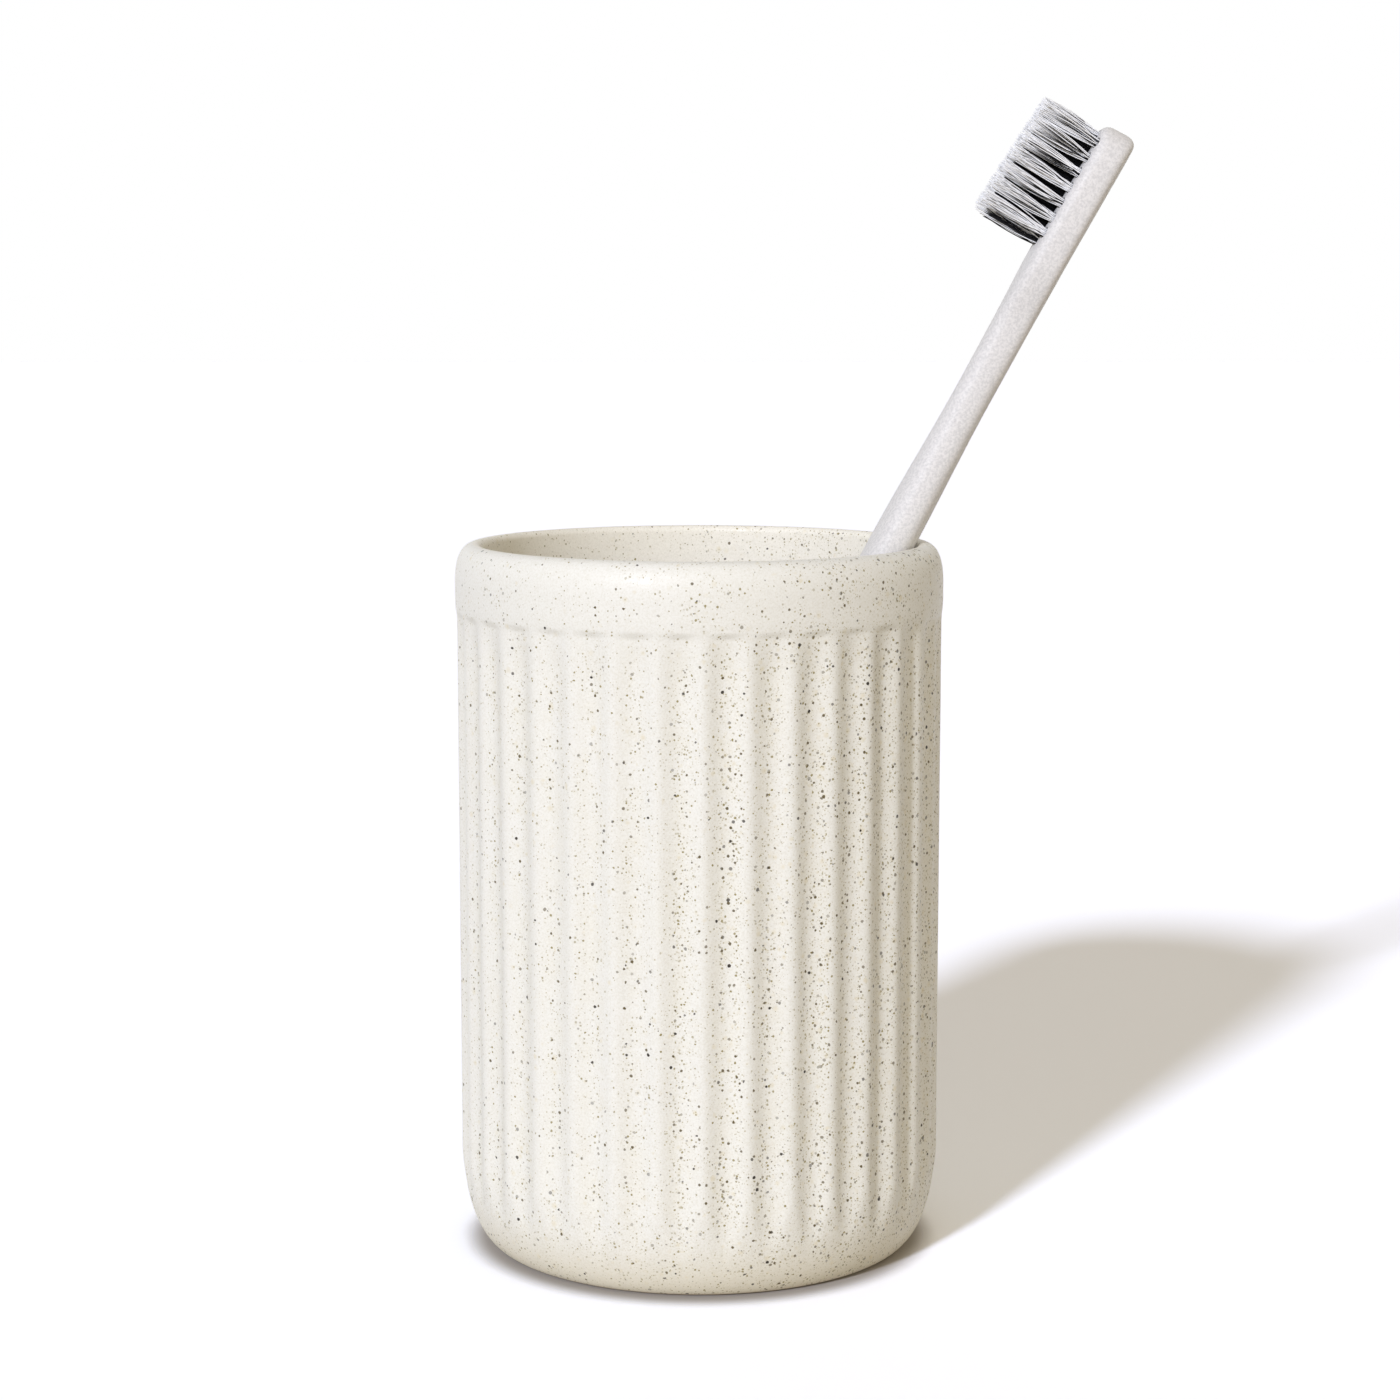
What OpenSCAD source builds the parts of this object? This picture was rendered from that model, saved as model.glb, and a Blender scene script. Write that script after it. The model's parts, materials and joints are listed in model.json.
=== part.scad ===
// Fluted stoneware tumbler that holds a toothbrush.
// Frame: Z up, origin on the tumbler's axis at the plane it stands on.
// The brush leans towards +X and its bristles face the upper left (-X, +Z).

/* [Tumbler] */
// Outer diameter over the collar
collar_d = 72.2; // [66:0.2:82]
// Height from the table to the crest of the rim
cup_h = 105; // [94:1:118]
// Thickness of the wall at the lip
lip_t = 4; // [3.5:0.1:4.8]
// Height over which the outer side of the lip rounds off
lip_round_h = 6; // [4:0.5:8]
// Radius of the inner edge of the lip
lip_edge_r = 1; // [0.7:0.1:1.4]
// Height of the plain collar above the grooves
collar_h = 9.5; // [9:0.5:14]
// How far the collar stands proud of the ridges
collar_step = 0.2; // [0.1:0.1:0.8]
// Height over which the collar swells out
swell_h = 3.5; // [1:0.5:4]
// How far below the upper ends of the grooves the swell begins
swell_drop = 2; // [0:0.5:3]
// Thickness of the floor, from the table to the inside
floor_t = 5; // [4:0.1:7]
// Radius of the corner between the inner wall and the floor
inner_corner_r = 8; // [5:0.5:10]
// Height of the rounded heel at the bottom of the wall
heel_h = 15.5; // [12:0.5:24]
// How far the heel draws in to the foot
heel_in = 5.8; // [4:0.1:7]

/* [Foot] */
// Width of the bare ring that the tumbler stands on
foot_ring_w = 4; // [3:0.5:6]
// Depth of the hollow inside the foot ring
foot_hollow = 1.4; // [1:0.1:2]

/* [Grooves] */
// Number of upright grooves round the tumbler
groove_count = 35; // [32:3:38]
// Depth of a groove at its middle
groove_depth = 1.1; // [0.6:0.1:1.4]
// Width of the ridge left between two grooves
ridge_w = 1; // [0.6:0.1:1.6]
// Radius that rounds off the upper end of a groove
groove_end_r = 1.6; // [1:0.1:2]
// Angle from the side that the brush leans to round to the nearest ridge
groove_turn = 3.5; // [0:0.5:10]

/* [Toothbrush] */
// Length of the brush from end to end
brush_len = 180.1; // [170:0.1:195]
// Distance from the far wall to the back of the brush, measured along the floor
foot_room = 11; // [9.5:0.5:16]
// Gap left where the brush rests on the lip and on the floor
rest_gap = 0.35; // [0.3:0.05:0.5]
// Thickness of the grip
grip_t = 6.3; // [5.5:0.1:8]
// Width of the grip
grip_w = 11.5; // [9:0.5:14]
// Radius that rounds the free end of the grip, seen from the side
grip_end_r = 2.6; // [2:0.1:2.7]
// Radius that rounds the free end of the grip, seen from the front
grip_corner_r = 4.4; // [3:0.1:4.5]
// Thickness of the neck
neck_t = 5.5; // [4:0.1:6]
// Width of the neck
neck_w = 6.4; // [5:0.1:8]
// Length of the thinnest stretch of the neck
neck_len = 15; // [8:1:20]
// Length over which the grip thins to the neck
neck_taper = 24; // [10:1:30]
// Length over which the grip narrows to the neck
neck_draw = 26; // [16:1:34]

/* [Brush head] */
// Length of the head, from the neck to the toe
head_len = 21.6; // [21.4:0.1:26]
// Thickness of the head
head_t = 5.5; // [5:0.1:7]
// Width of the head
head_w = 11; // [10.8:0.1:13]
// Length over which the neck thickens to the head
head_rise = 7; // [4:1:12]
// Length over which the neck widens to the head
head_flare = 11; // [6:1:14]
// How far the heel of the head lies behind the middle of the grip
head_set = 0.2; // [0:0.05:1]
// Angle by which the head bends back from the line of the grip
head_tilt = 1.5; // [0:0.5:4]
// Radius that rounds the toe, seen from the side
toe_edge_r = 1.5; // [1:0.1:2]
// Radius that rounds the toe, seen from the front
toe_corner_r = 4.6; // [3:0.1:5]

/* [Bristles] */
// Number of tufts in each outer row, of which the last is drawn in towards the middle of the toe
outer_tufts = 8; // [6:1:8]
// Distance between tufts along a row
tuft_pitch = 2.45; // [2.35:0.05:2.5]
// Distance between neighbouring rows
row_pitch = 2.35; // [2.3:0.05:2.4]
// Distance from the toe to the middle of the last tuft
toe_margin = 2; // [1.9:0.1:2.3]
// Diameter of a tuft hole
tuft_hole_d = 1.8; // [1.6:0.05:1.9]
// Depth of a tuft hole below the face of the head
tuft_hole_h = 3.4; // [3:0.1:4]
// Gap between a tuft's root and its hole, at each side
tuft_fit = 0.04; // [0.02:0.01:0.06]
// How far the root of a tuft stays below the face of the head
root_drop = 0.6; // [0.5:0.1:0.8]
// Length of the bristles at the heel of the head, above its face
bristle_heel_h = 10.4; // [8:0.1:12]
// Length of the bristles at the toe of the head, above its face
bristle_toe_h = 9.4; // [8:0.1:12]
// Length of the inner bristles, as a share of the outer ones
inner_share = 0.86; // [0.8:0.02:1]
// Angle at which the bristles lean towards the toe
bristle_lean = 2.5; // [0:0.5:5]
// Bristles in one tuft
bristle_count = 14; // [10:1:16]
// Radius of one bristle, over its corners
bristle_r = 0.13; // [0.08:0.01:0.14]

/* [Tuft anchors] */
// Length of the metal anchor across its hole
anchor_l = 2.3; // [2.1:0.05:2.4]
// Height of an anchor
anchor_h = 1.2; // [0.8:0.1:1.6]
// Thickness of an anchor
anchor_t = 0.25; // [0.15:0.05:0.3]
// Gap round an anchor in its slot
anchor_fit = 0.02; // [0.01:0.01:0.03]
// Angle between an anchor and the length of the brush
anchor_turn = 20; // [0:5:45]

/* [Hidden] */
$fn = 96;
overrun = 1;
arc_steps = 8;

// Tumbler radii and levels
rim_r = collar_d / 2;
body_r = rim_r - collar_step;
bore_r = rim_r - lip_t;
foot_r = body_r - heel_in;
foot_in_r = foot_r - foot_ring_w;
groove_top = cup_h - collar_h;
swell_z = groove_top - swell_drop;
lip_crest_r = bore_r + lip_edge_r;
// How square the outer side of the lip is: 2 is an ellipse
lip_power = 2.5;

// A groove is cut by a round rod whose side passes through both ridge edges
groove_bed_r = body_r - groove_depth;
groove_half_a = 180 / groove_count - asin(ridge_w / 2 / body_r);
rod_place = (body_r * body_r - groove_bed_r * groove_bed_r)
    / (body_r * cos(groove_half_a) - groove_bed_r) / 2;
rod_r = rod_place - groove_bed_r;

// Angle at which the brush leans from the upright, across the tumbler
lean = atan((2 * bore_r - foot_room) / (cup_h - floor_t));

// Where the brush touches down: its back runs past the lip's inner edge and its end stands on the floor
seat_r = lip_edge_r + rest_gap;
seat_x = lip_crest_r - seat_r * cos(lean);
seat_z = cup_h - lip_edge_r + seat_r * sin(lean);
end_drop = (seat_z - floor_t - rest_gap - grip_end_r * (1 - sin(lean))) / cos(lean) + grip_end_r;

// Levels along the brush, counted from the end of its grip
head_z = brush_len - head_len;
neck_top_z = head_z - head_rise;
neck_low_z = neck_top_z - neck_len;
last_tuft_z = brush_len - toe_margin;
field_len = (outer_tufts - 1) * tuft_pitch;
first_tuft_z = last_tuft_z - field_len;
// How square the brush's section is: 2 is an ellipse, more is squarer
grip_power = 2.6;
head_power = 4;
side_steps = 24;
length_steps = 30;

// Tuft rows: name, offset from the middle in row pitches, start in tuft pitches, number of tufts, colour
rows = [
    ["outer_left", -1.5, 0.5, outer_tufts, "ivory"],
    ["inner_left", -0.5, 0, outer_tufts - 1, "black"],
    ["inner_right", 0.5, 0, outer_tufts - 1, "black"],
    ["outer_right", 1.5, 0.5, outer_tufts, "ivory"]
];
root_r = tuft_hole_d / 2 - tuft_fit;
bundle_r = root_r - bristle_r - tuft_fit;
// Radius of a bundle's tip, as a share of the tuft pitch
outer_tip_share = 0.47;
inner_tip_share = 0.34;
golden_angle = 180 * (3 - sqrt(5));

function tuft_name(row, i) = str("tuft_", row[0], "_", i);
function tufts_in(row) = row[3];

// Points of a quarter of a superellipse round a centre, from angle a0 to a1
function quarter(c, rx, ry, a0, a1, power = 2) = [
    for (i = [0 : arc_steps])
        let (a = a0 + (a1 - a0) * i / arc_steps)
        [c[0] + rx * sign(cos(a)) * pow(abs(cos(a)), 2 / power),
         c[1] + ry * sign(sin(a)) * pow(abs(sin(a)), 2 / power)]
];

// Soft step from 0 to 1 as z goes from z0 to z1
function ease(z, z0, z1) =
    let (u = min(1, max(0, (z - z0) / (z1 - z0)))) u * u * (3 - 2 * u);

function blend(a, b, u) = a + (b - a) * u;

// Outline of the tumbler's wall and floor, from the axis outwards and back
function cup_outline() = concat(
    [[0, foot_hollow], [foot_in_r - foot_hollow, foot_hollow], [foot_in_r, 0]],
    quarter([foot_r, heel_h], heel_in, heel_h, -90, 0),
    [for (i = [0 : arc_steps])
        [blend(body_r, rim_r, ease(i, 0, arc_steps)), swell_z + swell_h * i / arc_steps]],
    quarter([lip_crest_r, cup_h - lip_round_h], rim_r - lip_crest_r, lip_round_h, 0, 90, lip_power),
    quarter([lip_crest_r, cup_h - lip_edge_r], lip_edge_r, lip_edge_r, 90, 180),
    quarter([bore_r - inner_corner_r, floor_t + inner_corner_r], inner_corner_r, inner_corner_r, 0, -90),
    [[0, floor_t]]
);

// Rod that cuts one groove, with a rounded upper end
module groove_rod() {
    translate([rod_place, 0, 0])
        rotate_extrude()
            polygon(concat(
                [[0, -overrun], [rod_r, -overrun]],
                quarter([rod_r - groove_end_r, groove_top - groove_end_r], groove_end_r, groove_end_r, 0, 90),
                [[0, groove_top]]
            ));
}

// Every third rod, so that the rods cut in one go never meet
module groove_rods(first) {
    for (i = [first : 3 : groove_count - 1])
        rotate([0, 0, groove_turn + 360 * (i + 0.5) / groove_count]) groove_rod();
}

module holder_cup() {
    color("ivory")
        difference() {
            difference() {
                difference() {
                    rotate_extrude() polygon(cup_outline());
                    groove_rods(0);
                }
                groove_rods(1);
            }
            groove_rods(2);
        }
}

// Stands the brush in the tumbler
module in_cup() {
    translate([seat_x, 0, seat_z])
        rotate([0, lean, 0])
            translate([0, 0, -end_drop])
                children();
}

// Half a thickness or width near a rounded end, t away from the end
function rounded(half, r, t) = t >= r ? half : half - r + sqrt(r * r - (r - t) * (r - t));

function brush_t(z) =
    blend(blend(grip_t, neck_t, ease(z, neck_low_z - neck_taper, neck_low_z)),
          head_t, ease(z, neck_top_z, head_z));
function brush_w(z) =
    blend(blend(grip_w, neck_w, ease(z, neck_low_z - neck_draw, neck_low_z)),
          head_w, ease(z, head_z - head_flare, head_z));
function brush_mid(z) = -grip_t / 2 + head_set * ease(z, neck_low_z - neck_taper, neck_top_z)
    + max(0, z - head_z) * tan(head_tilt);
function head_face(z) = brush_mid(z) - head_t / 2;
function brush_power(z) = blend(grip_power, head_power, ease(z, neck_low_z, head_z));

// One ring of points round the brush at height z
function brush_ring(z) =
    let (
        low = z < brush_len / 2,
        t = low ? z : brush_len - z,
        half_t = rounded(brush_t(z) / 2, low ? grip_end_r : toe_edge_r, t),
        half_w = rounded(brush_w(z) / 2, low ? grip_corner_r : toe_corner_r, t),
        p = 2 / brush_power(z)
    )
    [for (k = [0 : side_steps - 1])
        let (a = 360 * k / side_steps)
        [brush_mid(z) + half_t * sign(cos(a)) * pow(abs(cos(a)), p),
         half_w * sign(sin(a)) * pow(abs(sin(a)), p),
         z]];

// Heights of the rings: close together where the ends round off
brush_levels = concat(
    [for (i = [0 : arc_steps - 1]) grip_corner_r * (1 - cos(90 * i / arc_steps))],
    [for (i = [0 : length_steps])
        blend(grip_corner_r, brush_len - toe_corner_r, i / length_steps)],
    [for (i = [arc_steps - 1 : -1 : 0]) brush_len - toe_corner_r * (1 - cos(90 * i / arc_steps))]
);

// Skin through the rings, closed by a fan at each end
module brush_body() {
    n = len(brush_levels);
    points = [for (z = brush_levels) each brush_ring(z)];
    sides = [for (j = [0 : n - 2]) for (k = [0 : side_steps - 1])
        let (a = j * side_steps + k, b = j * side_steps + (k + 1) % side_steps)
        each [[a, a + side_steps, b], [b, a + side_steps, b + side_steps]]];
    low_end = [for (k = [1 : side_steps - 2]) [0, k, k + 1]];
    top = (n - 1) * side_steps;
    top_end = [for (k = [1 : side_steps - 2]) [top, top + k + 1, top + k]];
    polyhedron(points, concat(sides, low_end, top_end));
}

// Height of tuft i of a row along the brush, and its place across the head. The last outer tuft
// ends the inner row beside it, as the rounded toe asks
function drawn_in(i) = i == outer_tufts;
function tuft_z(row, i) = first_tuft_z + (i - 1 + (drawn_in(i) ? 0 : row[2])) * tuft_pitch;
function tuft_y(row, i) = (drawn_in(i) ? sign(row[1]) / 2 : row[1]) * row_pitch;

// Puts a tuft's own frame on the head: Z out of the face, X towards the toe
module at_tuft(row, i) {
    translate([head_face(tuft_z(row, i)), tuft_y(row, i), tuft_z(row, i)])
        rotate([0, head_tilt - 90, 0])
            children();
}

module anchor_plate(gap = 0) {
    rotate([0, 0, anchor_turn])
        translate([-anchor_l / 2 - gap, -anchor_t / 2 - gap, anchor_t - tuft_hole_h - gap])
            cube([anchor_l + 2 * gap, anchor_t + 2 * gap, anchor_h + 2 * gap]);
}

module brush_handle() {
    color("gainsboro")
        in_cup()
            difference() {
                brush_body();
                for (row = rows)
                    for (i = [1 : tufts_in(row)])
                        at_tuft(row, i) {
                            translate([0, 0, -tuft_hole_h])
                                cylinder(h = tuft_hole_h + overrun, d = tuft_hole_d);
                            anchor_plate(anchor_fit);
                        }
            }
}

module tuft_anchors() {
    color("silver")
        in_cup()
            for (row = rows)
                for (i = [1 : tufts_in(row)])
                    at_tuft(row, i) anchor_plate();
}

// One straight bristle of three sides from point a to point b
module bristle(a, b) {
    d = b - a;
    translate(a)
        rotate([0, acos(d[2] / norm(d)), atan2(d[1], d[0])])
            cylinder(h = norm(d), r = bristle_r, $fn = 3);
}

// A folded bundle: its root is held by the anchor, its bristles fan out evenly and none cross
module tuft(row, i) {
    z_share = (tuft_z(row, i) - first_tuft_z) / field_len;
    outer = tufts_in(row) == outer_tufts;
    height = blend(bristle_heel_h, bristle_toe_h, z_share) * (outer ? 1 : inner_share);
    tip_r = tuft_pitch * (outer ? outer_tip_share : inner_tip_share);
    root_top = -root_drop;
    root_low = tuft_fit - tuft_hole_h;
    color(row[4])
        in_cup()
            at_tuft(row, i) {
                difference() {
                    translate([0, 0, root_low]) cylinder(h = root_top - root_low, r = root_r);
                    anchor_plate(anchor_fit);
                }
                for (k = [0 : bristle_count - 1]) {
                    r_share = sqrt((k + 0.5) / bristle_count);
                    side = [cos(k * golden_angle), sin(k * golden_angle)] * r_share;
                    base = [side[0] * bundle_r, side[1] * bundle_r, root_top - bristle_r];
                    tip = [side[0] * tip_r + height * tan(bristle_lean), side[1] * tip_r, height];
                    bristle(base, tip);
                }
            }
}

holder_cup();
brush_handle();
tuft_anchors();
for (row = rows)
    for (i = [1 : tufts_in(row)])
        tuft(row, i);
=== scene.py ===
"""Looks of a fluted stoneware tumbler that holds a toothbrush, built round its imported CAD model.

Lengths are in metres, in the frame of the CAD model: Z is up, the origin is on the tumbler's axis
at the plane it stands on, the brush leans towards +X and the camera looks along +Y.
"""

import json
import math
import random

import bmesh
import bpy
import numpy as np
from mathutils import Matrix, Vector


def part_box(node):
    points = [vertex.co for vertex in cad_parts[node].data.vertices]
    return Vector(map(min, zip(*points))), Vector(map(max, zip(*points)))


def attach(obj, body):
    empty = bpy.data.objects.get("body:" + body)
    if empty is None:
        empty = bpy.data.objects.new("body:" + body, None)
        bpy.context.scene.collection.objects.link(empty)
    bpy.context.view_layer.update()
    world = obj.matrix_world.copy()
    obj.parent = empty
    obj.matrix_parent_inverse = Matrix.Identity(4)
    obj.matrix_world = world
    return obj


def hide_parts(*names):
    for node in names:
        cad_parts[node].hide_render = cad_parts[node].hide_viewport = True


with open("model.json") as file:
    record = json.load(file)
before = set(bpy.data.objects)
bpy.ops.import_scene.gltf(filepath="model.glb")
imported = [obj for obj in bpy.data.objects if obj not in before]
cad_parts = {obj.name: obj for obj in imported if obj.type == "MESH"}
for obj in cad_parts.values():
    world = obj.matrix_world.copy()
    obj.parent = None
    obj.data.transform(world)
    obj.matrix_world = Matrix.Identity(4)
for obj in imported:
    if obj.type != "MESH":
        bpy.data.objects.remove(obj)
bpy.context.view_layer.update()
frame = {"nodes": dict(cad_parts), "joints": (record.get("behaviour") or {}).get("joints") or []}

MM = 0.001
PHOTO_WIDTH = 1400
WHITE = (1.0, 1.0, 1.0)

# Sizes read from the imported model
cup_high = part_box("holder_cup")[1]
CUP_H = cup_high.z
RIM_R = max(cup_high.x, cup_high.y)
LIFT_AXIS = Vector(frame["joints"][0]["axis"]).normalized()
LEAN = math.atan2(LIFT_AXIS.x, LIFT_AXIS.z)

# Tumbler
LIP_T = 4 * MM
LIP_ROUND_H = 6 * MM
LIP_EDGE_R = 1 * MM
LIP_POWER = 2.5
COLLAR_H = 9.5 * MM
COLLAR_STEP = 0.2 * MM
SWELL_H = 3.5 * MM
SWELL_DROP = 2 * MM
FLOOR_T = 5 * MM
INNER_CORNER_R = 8 * MM
HEEL_H = 15.5 * MM
HEEL_IN = 5.8 * MM
FOOT_RING_W = 4 * MM
FOOT_HOLLOW = 1.4 * MM

BODY_R = RIM_R - COLLAR_STEP
BORE_R = RIM_R - LIP_T
FOOT_R = BODY_R - HEEL_IN
FOOT_IN_R = FOOT_R - FOOT_RING_W
LIP_CREST_R = BORE_R + LIP_EDGE_R
GROOVE_TOP = CUP_H - COLLAR_H
SWELL_Z = GROOVE_TOP - SWELL_DROP

# Grooves
GROOVE_COUNT = 35
GROOVE_DEPTH = 0.92 * MM
GROOVE_TURN = math.radians(3.5)
# A groove is a wave with this much of its second harmonic, which keeps the ridges a little narrower
RIDGE_SHARE = 0.06
# Its upper end: a short step that takes this share of the depth, and a long slope for the rest
END_SHARE = 0.42
END_STEP = 1.2 * MM
END_SLOPE = 7 * MM
# Where the groove runs out on the heel, its edge is softened by this much
RUN_OUT = 0.4 * MM
# Unevenness of the hand-finished clay
GROOVE_UNEVEN = 0.14 * MM
RIDGE_WANDER = 0.12 * MM
WALL_UNEVEN = 0.05 * MM
# Length over which a groove's middle wanders, and the seeds of the unevenness
WANDER_LEN = 17 * MM
GROOVE_SEED = 11
WALL_SEED = 5
# Waves of the wall: how many go round it, and the height of one in millimetres
WALL_WAVES = ((2, 90), (3, 60), (5, 40), (7, 27))
# Over this height above the heel the unevenness sets in
UNEVEN_RISE = 12 * MM

# Steps of the tumbler's mesh: round it in each groove, then along each part of its profile
STEPS_PER_GROOVE = 16
UNDERSIDE_STEPS = 5
FOOT_STEPS = 3
HEEL_STEPS = 26
WALL_STEPS = 34
SWELL_STEPS = 21
LIP_STEPS = 20
EDGE_STEPS = 10
BORE_STEPS = 14
CORNER_STEPS = 12
FLOOR_STEPS = 6
# Radius of the first and the last ring, which a fan of faces closes
MIDDLE_R = 1 * MM

# Toothbrush
BRUSH_LEN = 180.1 * MM
REST_GAP = 0.35 * MM
GRIP_T = 6.3 * MM
GRIP_W = 11.5 * MM
GRIP_END_R = 2.6 * MM
GRIP_CORNER_R = 4.4 * MM
NECK_T = 5.5 * MM
NECK_W = 6.4 * MM
NECK_LEN = 15 * MM
NECK_TAPER = 24 * MM
NECK_DRAW = 26 * MM
HEAD_LEN = 21.6 * MM
HEAD_T = 5.5 * MM
HEAD_W = 11 * MM
HEAD_RISE = 7 * MM
HEAD_FLARE = 11 * MM
HEAD_SET = 0.2 * MM
HEAD_TILT = math.radians(1.5)
TOE_EDGE_R = 1.5 * MM
TOE_CORNER_R = 4.6 * MM
# Powers of the superellipses that the grip and the head have as their sections
GRIP_POWER = 2.6
HEAD_POWER = 4
# Points of the handle's mesh: round it, along it between its ends, and along each end
HANDLE_SIDES = 72
HANDLE_STEPS = 90
END_STEPS = 15
# Rings on the flat ends, as shares of the last ring's size
END_INSETS = (0.7, 0.35)
HOLE_SIDES = 28
# The drill for a tuft hole starts this far above the face of the head
DRILL_START = 1 * MM
SHARP_ANGLE = math.radians(40)

HEAD_Z = BRUSH_LEN - HEAD_LEN
NECK_TOP_Z = HEAD_Z - HEAD_RISE
NECK_LOW_Z = NECK_TOP_Z - NECK_LEN

# Tufts
OUTER_TUFTS = 8
TUFT_PITCH = 2.45 * MM
ROW_PITCH = 2.35 * MM
TOE_MARGIN = 2 * MM
TUFT_HOLE_R = 0.9 * MM
TUFT_HOLE_H = 3.4 * MM
ANCHOR_T = 0.25 * MM
ANCHOR_TURN = math.radians(20)
BRISTLE_HEEL_H = 10.4 * MM
BRISTLE_TOE_H = 9.4 * MM
INNER_SHARE = 0.86
BRISTLE_LEAN = math.radians(2.5)
# Strands in a tuft and their radius; the inner tufts are denser
OUTER_BRISTLES = 40
OUTER_BRISTLE_R = 0.07 * MM
INNER_BRISTLES = 46
INNER_BRISTLE_R = 0.078 * MM
# Places along a strand where its mesh has a ring, and the size of each ring as a share of the full one
STRAND_PLACES = np.array([0, 0.12, 0.3, 0.5, 0.7, 0.88, 0.975, 1])
STRAND_WIDTHS = np.array([1, 1, 1, 0.98, 0.94, 0.88, 0.8, 0.4])
STRAND_SIDES = 6
# Share of black strands in the middle of a white tuft, partly black core strands and partly painted shade
# between the white ones, and how far out from it they may stand
OUTER_DARK = 0.5
DARK_REACH = 0.8
# Share of black strands in the first black tuft, where white ones cross it
HEEL_DARK = 0.68
# Parts of its length where a black strand in a white tuft starts and ends turning white, so that its
# painted shade fades towards the tips
SHADE_FADE_FROM = 0.52
SHADE_FADE_TO = 0.94
# How far the strands stray on their way up: round the bundle (radians), outwards (share of its radius)
STRAY_TURN = 0.5
STRAY_OUT = 0.15
# How unequal the strands' ends are, in an ordinary tuft and in the mixed one
TIP_UNEVEN = 0.2 * MM
MIXED_TIP_UNEVEN = 0.9 * MM
# How far a strand's middle bows, across the head and along it
BOW_ACROSS = 0.17 * MM
BOW_ALONG = 0.27 * MM
# Gaps of a strand: beside the anchor, and above the bottom of the hole
ANCHOR_GAP = 0.02 * MM
HOLE_GAP = 0.1 * MM
# Tips stay between these places: from the first tuft's middle, and short of the toe itself
HEEL_TIP = -0.8 * MM
TOE_TIP = 1 * MM
FIRST_TUFT_Z = BRUSH_LEN - TOE_MARGIN - (OUTER_TUFTS - 1) * TUFT_PITCH
FIELD_LEN = (OUTER_TUFTS - 1) * TUFT_PITCH
# Name, place across the head in row pitches, start in tuft pitches, number of tufts
ROWS = [("outer_left", -1.5, 0.5, OUTER_TUFTS), ("inner_left", -0.5, 0, OUTER_TUFTS - 1),
        ("inner_right", 0.5, 0, OUTER_TUFTS - 1), ("outer_right", 1.5, 0.5, OUTER_TUFTS)]
# Radius of a tuft where it leaves the head
OUTER_ROOT_R = 0.68 * MM
INNER_ROOT_R = 0.78 * MM
# How far a tuft's tips spread along the row and across it, as shares of the tuft pitch
OUTER_TIP_SHARES = (0.49, 0.5)
INNER_TIP_SHARES = (0.5, 0.46)
GOLDEN_ANGLE = math.pi * (3 - math.sqrt(5))

# Camera, from the photograph: focal length and the column of the tumbler's axis in its pixels
CAMERA_PLACE = Vector((0, -446.3, 141.3)) * MM
CAMERA_PITCH = math.radians(7.64)
FOCAL_PX = 3024
MIDDLE_PX = 699.1
SENSOR_MM = 36
NEAREST = 0.01
FARTHEST = 50

# Light, from the photograph
SUN_TURN = math.radians(28)
SUN_RISE = math.radians(26)
SUN_SIZE = math.radians(5.5)
SUN_STRENGTH = 2.45
SUN_COLOUR = (0.81, 0.85, 1)
SKY_COLOUR = (1, 0.885, 0.71)
SKY_STRENGTH = 0.31
# A soft reflector stands in front, turned a little to the right; the powers say how fast it falls off
# sideways and upwards
REFLECTOR_STRENGTH = 1.35
REFLECTOR_TURN = math.radians(25)
REFLECTOR_WIDTH_POWER = 2.0
REFLECTOR_POWER = 2.2
# A lower, narrower and cooler one behind keeps the back from falling into shade
REAR_STRENGTH = 3.6
REAR_WIDTH_POWER = 5
REAR_POWER = 4
REAR_COLOUR = (0.84, 0.91, 1)

# Floor
FLOOR_HALF = 6
FLOOR_COLOUR = (0.6, 0.565, 0.5)
# A floor in full light just reaches white for the camera
FLOOR_SEEN = (1.56, 1.61, 1.73)
# The pale tumbler throws this share of light on the floor before it, and it fades out over this length
BOUNCE_SHARE = 0.27
BOUNCE_FADE = 42 * MM
# A painted contact shadow: close round the foot the floor is darker for the camera, between these
# distances from the axis
CONTACT_SHADOW_COLOUR = (0.36, 0.33, 0.29)
CONTACT_SHADOW_FROM = 32 * MM
CONTACT_SHADOW_TO = 36.8 * MM


def ease(u):
    """Soft step from 0 to 1."""
    u = np.clip(u, 0, 1)
    return u * u * (3 - 2 * u)


def mix(a, b, u):
    return a + (b - a) * u


def quarter(centre, radii, start, end, steps, power=2):
    """Points (radius, height) on part of a superellipse, with angles in degrees."""
    angles = np.radians(np.linspace(start, end, steps + 1))
    cos, sin = np.cos(angles), np.sin(angles)
    across = centre[0] + radii[0] * np.sign(cos) * np.abs(cos) ** (2 / power)
    up = centre[1] + radii[1] * np.sign(sin) * np.abs(sin) ** (2 / power)
    return np.stack([across, up], axis=1)


def line(start, end, steps):
    return np.linspace(start, end, steps + 1)


def skin(rings):
    """Points and faces of a closed skin through rings of points, with a fan at each end."""
    rings = np.asarray(rings)
    count, around = rings.shape[:2]
    points = np.vstack([rings.reshape(-1, 3), rings[0].mean(axis=0), rings[-1].mean(axis=0)])
    low_middle, high_middle = count * around, count * around + 1
    faces = []
    for k in range(around):
        after = (k + 1) % around
        faces.append((low_middle, after, k))
        top = (count - 1) * around
        faces.append((high_middle, top + k, top + after))
        for j in range(count - 1):
            row = j * around
            faces.append((row + k, row + after, row + around + after, row + around + k))
    return points, faces


def make_mesh(name, points, faces, smooth=True):
    mesh = bpy.data.meshes.new(name)
    mesh.from_pydata([tuple(p) for p in points], [], faces)
    mesh.validate()
    work = bmesh.new()
    work.from_mesh(mesh)
    bmesh.ops.recalc_face_normals(work, faces=work.faces)
    work.to_mesh(mesh)
    work.free()
    if smooth:
        mesh.shade_smooth()
    piece = bpy.data.objects.new(name, mesh)
    bpy.context.scene.collection.objects.link(piece)
    return piece


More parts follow.
